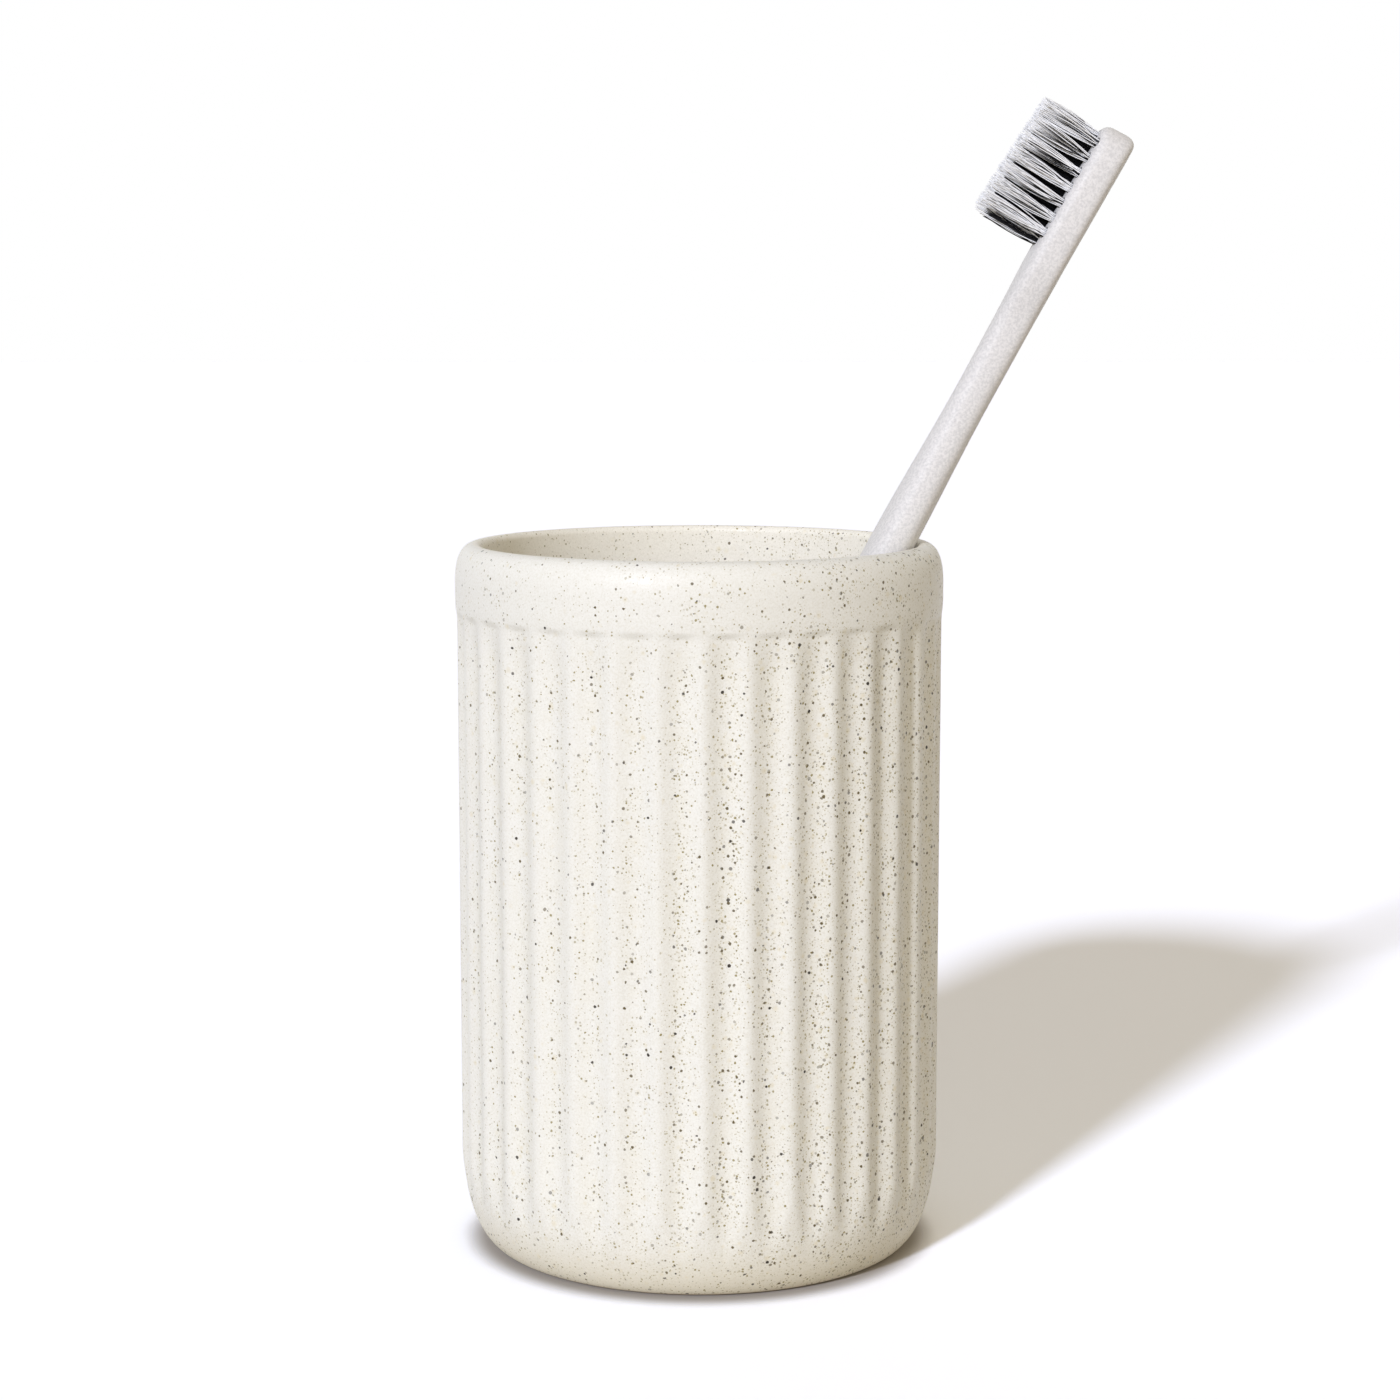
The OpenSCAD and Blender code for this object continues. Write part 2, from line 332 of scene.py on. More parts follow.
def settle(piece, material, body, slot, *nodes):
    """Gives a piece its material and its body, and hides the CAD nodes that it stands for; its slot is not
    used.
    """
    piece.data.materials.clear()
    piece.data.materials.append(material)
    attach(piece, body)
    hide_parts(*nodes)


# Materials, whose lengths are in millimetres
#
# A noise is its feature size and detail, then its roughness and offset where they aren't the usual ones.
# A range is the start and the end of a soft step, then its first and last level where they aren't 0 and 1.
# A layer of specks is its cell size, usual radius, share of cells that hold a speck, width of the soft
# edge, offset, tint, and the strengths of the palest and the strongest speck.

# Least radius of a speck, and how much more it may have, as shares of the layer's usual radius
SPECK_SIZES = (0.5, 0.7)

# Glaze colour; heights are above the table and distances from the tumbler's axis
DRIFT = (14, 2)
GLAZE_TINTS = ((0.905, 0.902, 0.845), (0.905, 0.898, 0.82))
CLOUD = (3.2, 3, 0.6, (31, 7, 3))
WARM_BY_CLOUD = (0.36, 0.64, 0.0, 0.35)
# Yellower in the grooves: partly glaze that pools there, partly painted shade
POOLED_AND_SHADE_TINT = (0.87, 0.84, 0.72)
OUTSIDE = (33.2, 33.6)
ABOVE_FLOOR = (4, 5)
# Painted light: inside, above its floor, the tumbler's glaze is painted lighter and warmer
INSIDE_PAINTED_LIGHT = (0.955, 0.925, 0.82)
SAND = (0.28, 3, 0.65, (12, 4, 6))
GRIT_BY_SAND = (0.3, 0.62, 1.0, 0.0)
GRIT_BY_HEIGHT = (16, 2, 0.36, 0.6)
GRIT_TINT = (0.68, 0.65, 0.53)
# Darker and yellower towards the foot: partly the glaze's own tone, partly painted shade near the floor
FOOT_BY_HEIGHT = (11, 0, 0, 0.75)
FOOT_TONE_AND_SHADE = (0.8, 0.75, 0.6)

# Glaze specks: a noise bends their outlines by up to half the push, and they crowd by place
RAGGED = (0.3125, 2)
RAGGED_PUSH = 0.22
GATHER = (4.5, 2, 0.5, (5, 40, 11))
CROWD_BY_GATHER = (0.36, 0.66, 0.2, 0.75)
# Specks crowd more in the grooves and on the +X side, away from the key light: partly real speckle, partly
# painted shade
CROWD_IN_GROOVES = 0.8
CROWD_ON_SHADE_SIDE = (-12, 28, 0.6, 2.2)
CROWD_BY_HEIGHT = (16, 2, 0, 0.4)
# A tan halo, then fine to coarse
SPECK_LAYERS = ((1.2, 0.5, 0.5, 0.4, (3, 3, 3), (0.76, 0.68, 0.46), (0.1, 0.55)),
                (0.4, 0.13, 0.9, 0.06, (9, 2, 5), (0.46, 0.4, 0.22), (0.36, 0.8)),
                (0.6, 0.175, 0.75, 0.06, (6, 3, 1), (0.3, 0.25, 0.095), (0.45, 1)),
                (0.95, 0.225, 0.55, 0.05, (1, 8, 2), (0.12, 0.09, 0.034), (0.45, 1)),
                (1.6, 0.25, 0.55, 0.05, (4, 1, 7), (0.03, 0.022, 0.012), (0.45, 1)))

# Bare clay on the foot ring and in the hollow inside it
UNDER_FOOT = (0.55, 0.2)
IN_HOLLOW = (2.4, 2.2)
WITHIN_RING = (26.2, 25.9)
CLAY = (0.5, 4, 0.65)
CLAY_TINTS = ((0.5, 0.42, 0.31), (0.7, 0.62, 0.49))
CLAY_ROUGHNESS = 0.9

# Glaze relief: fine grain, this many times as much ripple, and a pit at each of the darkest specks
GRAIN = (0.34, 3, 0.6)
RIPPLE = (5, 2, 0.5, (2, 9, 4))
RIPPLE_SHARE = 3.0
PIT_SHARE = 1.2
GLAZE_BUMP = (0.5, 0.018 * MM)
SHEEN = (1.4, 3, 0.5, (8, 8, 1))
GLAZE_ROUGHNESS = (0.3, 0.7, 0.36, 0.5)
GLAZE_SPECULAR = 0.28

# Brush plastic
PLASTIC_DRIFT = (9, 2)
PLASTIC_TINTS = ((0.82, 0.806, 0.79), (0.84, 0.824, 0.805))
PLASTIC_GRAIN = (0.4, 3, 0.7)
GREY_BY_GRAIN = (0.35, 0.65, 0.0, 0.75)
PLASTIC_GREY = (0.62, 0.615, 0.605)
FLECK_LAYERS = ((0.55, 0.11, 0.6, 0.07, (2, 5, 1), (0.95, 0.95, 0.95), (0.2, 0.6)),
                (0.75, 0.12, 0.5, 0.07, (7, 1, 3), (0.5, 0.48, 0.47), (0.2, 0.55)))
PLASTIC_BUMP = (0.4, 0.02 * MM)
PLASTIC_SHEEN = (0.8, 2, 0.5, (1, 4, 9))
PLASTIC_ROUGHNESS = (0.3, 0.7, 0.5, 0.62)
PLASTIC_SPECULAR = 0.4

# Nylon; its specular levels are those of white and of black strands
NYLON_DRIFT = (0.3, 2, 0.6)
WHITE_TINTS = ((0.935, 0.945, 0.965), (0.965, 0.975, 0.985))
BLACK_TINTS = ((0.003, 0.003, 0.004), (0.012, 0.012, 0.014))
NYLON_SPECULAR = (0.5, 0.12)
NYLON_SHEEN = (0.6, 2, 0.5, (3, 1, 2))
NYLON_ROUGHNESS = (0.3, 0.7, 0.32, 0.45)

# Metal of the anchors
METAL_DRIFT = (0.2, 3)
METAL_TINTS = ((0.66, 0.66, 0.65), (0.8, 0.8, 0.79))
METAL_SHEEN = (0.15, 2, 0.5, (1, 1, 4))
METAL_ROUGHNESS = (0.3, 0.7, 0.28, 0.42)


class Tree:
    """A node tree, with short calls for the nodes that it needs."""

    def __init__(self, owner):
        owner.use_nodes = True
        self.tree = owner.node_tree

    def add(self, kind, values=None, **settings):
        node = self.tree.nodes.new(kind)
        for key, value in settings.items():
            setattr(node, key, value)
        for key, value in (values or {}).items():
            self.put(node.inputs[key], value)
        return node

    def put(self, socket, value):
        if isinstance(value, bpy.types.NodeSocket):
            self.tree.links.new(value, socket)
        else:
            socket.default_value = value

    def math(self, operation, a, b=0.0, c=0.0):
        node = self.add("ShaderNodeMath", {0: a, 1: b, 2: c}, operation=operation)
        return node.outputs[0]

    def vector(self, operation, a, b=(0, 0, 0)):
        """Vector maths, which gives a plain value for a length or a dot product."""
        node = self.add("ShaderNodeVectorMath", {0: a, 1: b}, operation=operation)
        return node.outputs["Value" if operation in ("LENGTH", "DOT_PRODUCT") else "Vector"]

    def scaled(self, place, factor):
        node = self.add("ShaderNodeVectorMath", {0: place, "Scale": factor}, operation="SCALE")
        return node.outputs["Vector"]

    def step(self, value, low, high, to_low=0.0, to_high=1.0):
        """Soft step of a value from low to high."""
        node = self.add("ShaderNodeMapRange", {"Value": value, "From Min": low, "From Max": high,
                                               "To Min": to_low, "To Max": to_high})
        node.interpolation_type = "SMOOTHSTEP"
        return node.outputs["Result"]

    def blend(self, share, a, b):
        """The first colour with this share of the second one in it."""
        node = self.add("ShaderNodeMix", data_type="RGBA")
        factor, first, second = node.inputs[0], node.inputs[6], node.inputs[7]
        for socket, value in ((factor, share), (first, a), (second, b)):
            self.put(socket, (*value, 1) if isinstance(value, tuple) else value)
        return node.outputs[2]

    def seen(self, plain, seen):
        """A colour that is plain for light, and seen for camera, glossy and transmission rays."""
        path = self.add("ShaderNodeLightPath")
        direct = self.math("MAXIMUM", path.outputs["Is Camera Ray"], path.outputs["Is Glossy Ray"])
        every = self.math("MAXIMUM", direct, path.outputs["Is Transmission Ray"])
        return self.blend(every, plain, seen)


class Nodes(Tree):
    """The node tree of a material of the object."""

    def __init__(self, name):
        self.material = bpy.data.materials.new(name)
        super().__init__(self.material)
        self.shader = self.tree.nodes["Principled BSDF"]

    def millimetres(self):
        """Object coordinates in millimetres."""
        return self.scaled(self.add("ShaderNodeTexCoord").outputs["Object"], 1 / MM)

    def noise(self, place, size, detail, roughness=0.5, offset=(0, 0, 0)):
        """Noise whose features are about size millimetres across."""
        place = self.vector("ADD", place, offset)
        node = self.add("ShaderNodeTexNoise", {"Vector": place, "Scale": 1 / size, "Detail": detail,
                                               "Roughness": roughness})
        return node.outputs["Fac"]

    def specks(self, colour, place, layer, crowd=1.0):
        """A colour with a layer of round specks, and how much of a speck covers each point."""
        cell, radius, share, soft, offset, tint, strengths = layer
        place = self.vector("ADD", place, offset)
        cells = self.add("ShaderNodeTexVoronoi", {"Vector": place, "Scale": 1 / cell})
        picks = self.add("ShaderNodeSeparateColor", {"Color": cells.outputs["Color"]}).outputs
        kept = self.math("LESS_THAN", picks[0], self.math("MULTIPLY", crowd, share))
        least, more = SPECK_SIZES
        reach = self.math("MULTIPLY_ADD", picks[1], more * radius / cell, least * radius / cell)
        inner = self.math("SUBTRACT", reach, soft / cell)
        disc = self.add("ShaderNodeMapRange", {"Value": cells.outputs["Distance"], "From Min": inner,
                                               "From Max": reach, "To Min": 1.0, "To Max": 0.0})
        cover = self.math("MULTIPLY", disc.outputs["Result"], kept)
        strength = self.math("MULTIPLY", cover, self.step(picks[2], 0, 1, *strengths))
        return self.blend(strength, colour, tint), cover

    def bump(self, height, strength, distance):
        node = self.add("ShaderNodeBump", {"Height": height, "Strength": strength, "Distance": distance})
        self.put(self.shader.inputs["Normal"], node.outputs["Normal"])

    def finish(self, colour, roughness, **plain):
        self.put(self.shader.inputs["Base Color"], colour)
        self.put(self.shader.inputs["Roughness"], roughness)
        for key, value in plain.items():
            self.shader.inputs[key.replace("_", " ")].default_value = value
        return self.material


def glaze_ground(n, place, height, outer_groove_depth, outside):
    """Glaze colour without specks: it drifts, is yellower in the grooves and at the foot partly as painted
    shade, and is painted lighter inside.
    """
    colour = n.blend(n.noise(place, *DRIFT), *GLAZE_TINTS)
    # Yellower in the grooves, partly pooled glaze and partly painted shade
    pooling_and_shade = n.math("MULTIPLY", outer_groove_depth, n.step(n.noise(place, *CLOUD), *WARM_BY_CLOUD))
    colour = n.blend(pooling_and_shade, colour, POOLED_AND_SHADE_TINT)
    # Painted light: the inside of the tumbler is painted lighter
    painted_inside_light = n.math("MULTIPLY", n.math("SUBTRACT", 1.0, outside), n.step(height, *ABOVE_FLOOR))
    colour = n.blend(painted_inside_light, colour, INSIDE_PAINTED_LIGHT)
    sand = n.step(n.noise(place, *SAND), *GRIT_BY_SAND)
    colour = n.blend(n.math("MULTIPLY", sand, n.step(height, *GRIT_BY_HEIGHT)), colour, GRIT_TINT)
    # Darker and yellower towards the foot, partly painted shade
    return n.blend(n.step(height, *FOOT_BY_HEIGHT), colour, FOOT_TONE_AND_SHADE)


def glaze_specks(n, colour, place, side, height, outer_groove_depth):
    """The glaze's colour with its specks, and how much of the darkest ones covers each point."""
    # Ragged coordinates, so that no speck is quite round
    size, detail = RAGGED
    ragged = n.add("ShaderNodeTexNoise", {"Vector": place, "Scale": 1 / size, "Detail": detail})
    centred = n.vector("SUBTRACT", ragged.outputs["Color"], (0.5, 0.5, 0.5))
    crooked = n.vector("ADD", place, n.scaled(centred, RAGGED_PUSH))
    # Specks gather in loose clouds, in the grooves, at the foot and on the +X side, away from the key
    # light; in the grooves and on that side they are partly painted shade
    gather = n.step(n.noise(place, *GATHER), *CROWD_BY_GATHER)
    crowd = n.math("MULTIPLY_ADD", outer_groove_depth, CROWD_IN_GROOVES, gather)
    crowd = n.math("MULTIPLY", crowd, n.step(side, *CROWD_ON_SHADE_SIDE))
    crowd = n.math("ADD", crowd, n.step(height, *CROWD_BY_HEIGHT))
    for layer in SPECK_LAYERS:
        colour, cover = n.specks(colour, crooked, layer, crowd)
    return colour, cover


def glaze_material():
    """Satin ivory glaze with iron specks, tan in the grooves (pooled glaze and painted shade), painted
    light inside and bare clay under the foot.
    """
    n = Nodes("speckled_glaze")
    place = n.millimetres()
    part = n.add("ShaderNodeSeparateXYZ", {0: place}).outputs
    side = part["X"]
    height = part["Z"]
    flat = n.add("ShaderNodeCombineXYZ", {"X": side, "Y": part["Y"]}).outputs[0]
    radius = n.vector("LENGTH", flat)
    depth = n.add("ShaderNodeAttribute", attribute_name="groove").outputs["Fac"]
    outside = n.step(radius, *OUTSIDE)
    outer_groove_depth = n.math("MULTIPLY", depth, outside)

    colour = glaze_ground(n, place, height, outer_groove_depth, outside)
    colour, dark = glaze_specks(n, colour, place, side, height, outer_groove_depth)
    hollow = n.math("MULTIPLY", n.step(height, *IN_HOLLOW), n.step(radius, *WITHIN_RING))
    bare = n.math("MAXIMUM", n.step(height, *UNDER_FOOT), hollow)
    colour = n.blend(bare, colour, n.blend(n.noise(place, *CLAY), *CLAY_TINTS))

    relief = n.math("MULTIPLY_ADD", n.noise(place, *RIPPLE), RIPPLE_SHARE, n.noise(place, *GRAIN))
    relief = n.math("SUBTRACT", relief, n.math("MULTIPLY", dark, PIT_SHARE))
    n.bump(relief, *GLAZE_BUMP)
    rough = n.step(n.noise(place, *SHEEN), *GLAZE_ROUGHNESS)
    rough = n.math("MAXIMUM", rough, n.math("MULTIPLY", bare, CLAY_ROUGHNESS))
    return n.finish(colour, rough, Specular_IOR_Level=GLAZE_SPECULAR)


def brush_material():
    """Matte pale grey moulding with fine fibres and flecks."""
    n = Nodes("flecked_plastic")
    place = n.millimetres()
    colour = n.blend(n.noise(place, *PLASTIC_DRIFT), *PLASTIC_TINTS)
    grain = n.noise(place, *PLASTIC_GRAIN)
    colour = n.blend(n.step(grain, *GREY_BY_GRAIN), colour, PLASTIC_GREY)
    for layer in FLECK_LAYERS:
        colour, _ = n.specks(colour, place, layer)
    n.bump(grain, *PLASTIC_BUMP)
    rough = n.step(n.noise(place, *PLASTIC_SHEEN), *PLASTIC_ROUGHNESS)
    return n.finish(colour, rough, Specular_IOR_Level=PLASTIC_SPECULAR)


def bristle_material(name):
    """Nylon whose strands are white or black, and differ a little from each other; black strands in white
    tufts are partly painted shade.
    """
    n = Nodes(name)
    place = n.millimetres()
    dark = n.add("ShaderNodeAttribute", attribute_name="dark").outputs["Fac"]
    vary = n.noise(place, *NYLON_DRIFT)
    colour = n.blend(dark, n.blend(vary, *WHITE_TINTS), n.blend(vary, *BLACK_TINTS))
    n.put(n.shader.inputs["Specular IOR Level"], n.step(dark, 0, 1, *NYLON_SPECULAR))
    return n.finish(colour, n.step(n.noise(place, *NYLON_SHEEN), *NYLON_ROUGHNESS))


def anchor_material():
    """Plain stamped metal strip."""
    n = Nodes("anchor_metal")
    place = n.millimetres()
    colour = n.blend(n.noise(place, *METAL_DRIFT), *METAL_TINTS)
    return n.finish(colour, n.step(n.noise(place, *METAL_SHEEN), *METAL_ROUGHNESS), Metallic=1.0)


# Tumbler


def groove_seeds():
    """Depth lost by each groove and how its middle wanders, so that no two are alike."""
    draw = random.Random(GROOVE_SEED)
    lost = np.array([draw.random() for _ in range(GROOVE_COUNT)]) * GROOVE_UNEVEN
    phases = np.array([draw.uniform(0, math.tau) for _ in range(GROOVE_COUNT)])
    return lost, phases


def grooved(radius, z, angles):
    """Radius of the wall round the tumbler at height z, and how deep each point lies in a groove."""
    lost, phases = groove_seeds()
    pitch = math.tau / GROOVE_COUNT
    at = (angles - GROOVE_TURN) / pitch
    number = np.floor(at).astype(int) % GROOVE_COUNT
    share = at - np.floor(at)
    # The wander fades out at the ridges, so that neighbouring grooves still meet
    wander = RIDGE_WANDER / BODY_R / pitch * np.sin(z / WANDER_LEN + phases[number])
    turn = math.tau * (share + wander * np.sin(math.pi * share) ** 2)
    wave = (1 - np.cos(turn)) / 2 + RIDGE_SHARE * (1 - np.cos(2 * turn)) / 2
    bed = (GROOVE_DEPTH - lost[number]) * wave - (BODY_R - radius)
    soft = RUN_OUT * ease((BODY_R - radius) / RUN_OUT)
    bed = (bed + np.sqrt(bed ** 2 + soft ** 2)) / 2
    below = GROOVE_TOP - z
    depth = bed * mix(ease(below / END_SLOPE), ease(below / END_STEP), END_SHARE)
    return radius - depth, np.clip(depth / GROOVE_DEPTH, 0, 1)


def uneven(angles, z):
    """Slow unevenness of the wall, which only ever takes material away."""
    draw = random.Random(WALL_SEED)
    total = np.zeros_like(angles)
    for turns, length in WALL_WAVES:
        total += np.sin(turns * angles + draw.uniform(0, math.tau)) * math.sin(
            z / (length * MM) * math.tau + draw.uniform(0, math.tau))
    share = total / (2 * len(WALL_WAVES)) + 0.5
    return -WALL_UNEVEN * share * ease((z - HEEL_H) / UNEVEN_RISE)


def cup_profile():
    """Parts of the profile, each with its kind and its points (radius, height).

    They run from the middle of the underside, up the outer wall, over the lip and down to the floor.
    """
    hollow_r = FOOT_IN_R - FOOT_HOLLOW
    inner_r = BORE_R - INNER_CORNER_R
    inner_z = FLOOR_T + INNER_CORNER_R
    edge_z = CUP_H - LIP_EDGE_R
    underside = np.vstack([
        line((MIDDLE_R, FOOT_HOLLOW), (hollow_r, FOOT_HOLLOW), UNDERSIDE_STEPS),
        quarter((hollow_r, 0), (FOOT_HOLLOW, FOOT_HOLLOW), 90, 0, UNDERSIDE_STEPS)[1:],
        line((FOOT_IN_R, 0), (FOOT_R, 0), FOOT_STEPS)[1:]])
    heel = quarter((FOOT_R, HEEL_H), (HEEL_IN, HEEL_H), -90, 0, HEEL_STEPS)[1:]
    wall = line((BODY_R, HEEL_H), (BODY_R, SWELL_Z), WALL_STEPS)[1:]
    rise = line(0, 1, SWELL_STEPS)[1:]
    swell = np.stack([mix(BODY_R, RIM_R, ease(rise)), SWELL_Z + SWELL_H * rise], axis=1)
    lip = quarter((LIP_CREST_R, CUP_H - LIP_ROUND_H), (RIM_R - LIP_CREST_R, LIP_ROUND_H),
                  0, 90, LIP_STEPS, LIP_POWER)
    edge = quarter((LIP_CREST_R, edge_z), (LIP_EDGE_R, LIP_EDGE_R), 90, 180, EDGE_STEPS)[1:]
    bore = line((BORE_R, edge_z), (BORE_R, inner_z), BORE_STEPS)[1:]
    corner = quarter((inner_r, inner_z), (INNER_CORNER_R, INNER_CORNER_R), 0, -90, CORNER_STEPS)[1:]
    floor = line((inner_r, FLOOR_T), (MIDDLE_R, FLOOR_T), FLOOR_STEPS)[1:]
    return [("plain", underside), ("grooved", heel), ("grooved", wall), ("grooved", swell),
            ("plain", lip), ("plain", edge), ("inner", bore), ("plain", corner), ("plain", floor)]


def cup_rings():
    """Rings of the tumbler's skin along its profile, and how deep each point lies in a groove."""
    around = GROOVE_COUNT * STEPS_PER_GROOVE
    angles = np.arange(around) * math.tau / around
    rings = []
    depths = []
    for kind, profile in cup_profile():
        for radius, z in profile:
            wall_r = np.full_like(angles, radius)
            depth = np.zeros_like(angles)
            if kind == "grooved":
                wall_r, depth = grooved(radius, z, angles)
            if kind != "inner" and z > HEEL_H and radius > LIP_CREST_R:
                wall_r = wall_r + uneven(angles, z)
            ring = [wall_r * np.cos(angles), wall_r * np.sin(angles), np.full_like(angles, z)]
            rings.append(np.stack(ring, axis=1))
            depths.append(depth)
    return rings, depths


def make_tumbler():
    rings, depths = cup_rings()
    points, faces = skin(rings)
    cup = make_mesh("tumbler", points, faces)
    values = np.concatenate([np.concatenate(depths), [0, 0]]).astype(np.float32)
    attribute = cup.data.attributes.new("groove", "FLOAT", "POINT")
    attribute.data.foreach_set("value", values)
    settle(cup, glaze_material(), "holder", "glaze", "holder_cup")


# Toothbrush


def brush_frame():
    """Matrix from the brush's own frame, with Z along it and X towards its back, to the whole."""
    seat_r = LIP_EDGE_R + REST_GAP
    seat = Vector((LIP_CREST_R - seat_r * math.cos(LEAN), 0,
                   CUP_H - LIP_EDGE_R + seat_r * math.sin(LEAN)))
    fall = seat.z - FLOOR_T - REST_GAP - GRIP_END_R * (1 - math.sin(LEAN))
    end_drop = fall / math.cos(LEAN) + GRIP_END_R
    return (Matrix.Translation(seat) @ Matrix.Rotation(LEAN, 4, "Y")
            @ Matrix.Translation((0, 0, -end_drop)))


def placed(points, matrix):
    turn = np.array(matrix.to_3x3())
    return np.asarray(points) @ turn.T + np.array(matrix.translation)


def rounded(half, radius, t):
    """Half a thickness or width near a rounded end, t away from that end."""
    if t >= radius:
        return half
    return half - radius + math.sqrt(radius ** 2 - (radius - t) ** 2)


def brush_mid(z):
    """Middle of the brush's thickness at height z; the head bends back a little."""
    bend_low = NECK_LOW_Z - NECK_TAPER
    bend = HEAD_SET * ease((z - bend_low) / (NECK_TOP_Z - bend_low))
    return -GRIP_T / 2 + bend + max(0, z - HEAD_Z) * math.tan(HEAD_TILT)


def on_head(points, y, z):
    """Points of a tuft's own frame (X out of the face, Y across, Z to the toe) in the brush's frame."""
    points = np.asarray(points)
    out = np.array([-math.cos(HEAD_TILT), 0, math.sin(HEAD_TILT)])
    toe = np.array([math.sin(HEAD_TILT), 0, math.cos(HEAD_TILT)])
    mouth = np.array([brush_mid(z) - HEAD_T / 2, y, z])
    return mouth + points[:, :1] * out + points[:, 1:2] * (0, 1, 0) + points[:, 2:] * toe


def brush_ring(z):
    """Section of the handle at height z."""
    thick = mix(mix(GRIP_T, NECK_T, ease((z - NECK_LOW_Z + NECK_TAPER) / NECK_TAPER)),
                HEAD_T, ease((z - NECK_TOP_Z) / (HEAD_Z - NECK_TOP_Z)))
    wide = mix(mix(GRIP_W, NECK_W, ease((z - NECK_LOW_Z + NECK_DRAW) / NECK_DRAW)),
               HEAD_W, ease((z - HEAD_Z + HEAD_FLARE) / HEAD_FLARE))
    headwards = ease((z - NECK_LOW_Z) / (HEAD_Z - NECK_LOW_Z))
    power = 2 / mix(GRIP_POWER, HEAD_POWER, headwards)
    low = z < BRUSH_LEN / 2
    t = z if low else BRUSH_LEN - z
    half_t = rounded(thick / 2, GRIP_END_R if low else TOE_EDGE_R, t)
    half_w = rounded(wide / 2, GRIP_CORNER_R if low else TOE_CORNER_R, t)
    angles = np.arange(HANDLE_SIDES) * math.tau / HANDLE_SIDES
    cos, sin = np.cos(angles), np.sin(angles)
    x = brush_mid(z) + half_t * np.sign(cos) * np.abs(cos) ** power
    y = half_w * np.sign(sin) * np.abs(sin) ** power
    return np.stack([x, y, np.full_like(x, z)], axis=1)


def tuft_places():
    """Row name, number, place across the head and along the brush of every tuft."""
    for row, across, start, count in ROWS:
        for i in range(count):
            # The last outer tuft ends the inner row beside it, as the rounded toe asks
            drawn_in = i + 1 == OUTER_TUFTS
            y = math.copysign(0.5, across) if drawn_in else across
            yield row, i + 1, y * ROW_PITCH, FIRST_TUFT_Z + (i + (0 if drawn_in else start)) * TUFT_PITCH


def handle_skin():
    """Points and faces of the handle without its holes, in the brush's own frame."""
    bend = np.radians(np.linspace(0, 90, END_STEPS))
    low = GRIP_CORNER_R * (1 - np.cos(bend))
    high = BRUSH_LEN - TOE_CORNER_R * (1 - np.cos(bend))[::-1]
    between = np.linspace(GRIP_CORNER_R, BRUSH_LEN - TOE_CORNER_R, HANDLE_STEPS)
    rings = [brush_ring(z) for z in np.concatenate([low[:-1], between, high[1:]])]
    low_end, high_end = [
        [end.mean(axis=0) + (end - end.mean(axis=0)) * share for share in END_INSETS]
        for end in (rings[0], rings[-1])]
    return skin(low_end[::-1] + rings + high_end)


def make_drill(matrix):
    """One piece that fills every tuft hole."""
    circle = np.arange(HOLE_SIDES) * math.tau / HOLE_SIDES
    points = []
    faces = []
    for _, _, y, z in tuft_places():
        ends = [np.stack([np.full_like(circle, out), TUFT_HOLE_R * np.sin(circle),
                          TUFT_HOLE_R * np.cos(circle)], axis=1) for out in (DRILL_START, -TUFT_HOLE_H)]
        hole_points, hole_faces = skin([on_head(end, y, z) for end in ends])
        start = len(points) * len(hole_points)
        points.append(placed(hole_points, matrix))
        faces += [tuple(start + v for v in face) for face in hole_faces]
    return make_mesh("tuft_drill", np.vstack(points), faces, smooth=False)


def make_handle(matrix):
    points, faces = handle_skin()
    handle = make_mesh("toothbrush_handle", placed(points, matrix), faces)
    drill = make_drill(matrix)
    cut = handle.modifiers.new("holes", "BOOLEAN")
    cut.operation = "DIFFERENCE"
    cut.solver = "EXACT"
    cut.object = drill
    ready = bpy.context.evaluated_depsgraph_get()
    mesh = bpy.data.meshes.new_from_object(handle.evaluated_get(ready))
    handle.modifiers.clear()
    handle.data = mesh
    mesh.shade_smooth()
    mesh.set_sharp_from_angle(angle=SHARP_ANGLE)
    bpy.data.objects.remove(drill)
    settle(handle, brush_material(), "toothbrush", "brush_plastic", "brush_handle")


def strand(base, knee, tip, radius):
    """A fine round bristle through three points, with a domed tip."""
    middle = knee + (knee - (base + tip) / 2)
    spine = [(1 - t) ** 2 * base + 2 * t * (1 - t) * middle + t * t * tip for t in STRAND_PLACES]
    along = tip - base
    side = np.cross(along, (0, 1, 0))
    side /= np.linalg.norm(side)
    other = np.cross(along, side)
    other /= np.linalg.norm(other)
    angles = np.arange(STRAND_SIDES) * math.tau / STRAND_SIDES
    circle = np.cos(angles)[:, None] * side + np.sin(angles)[:, None] * other
    return [p + radius * w * circle for p, w in zip(spine, STRAND_WIDTHS)]


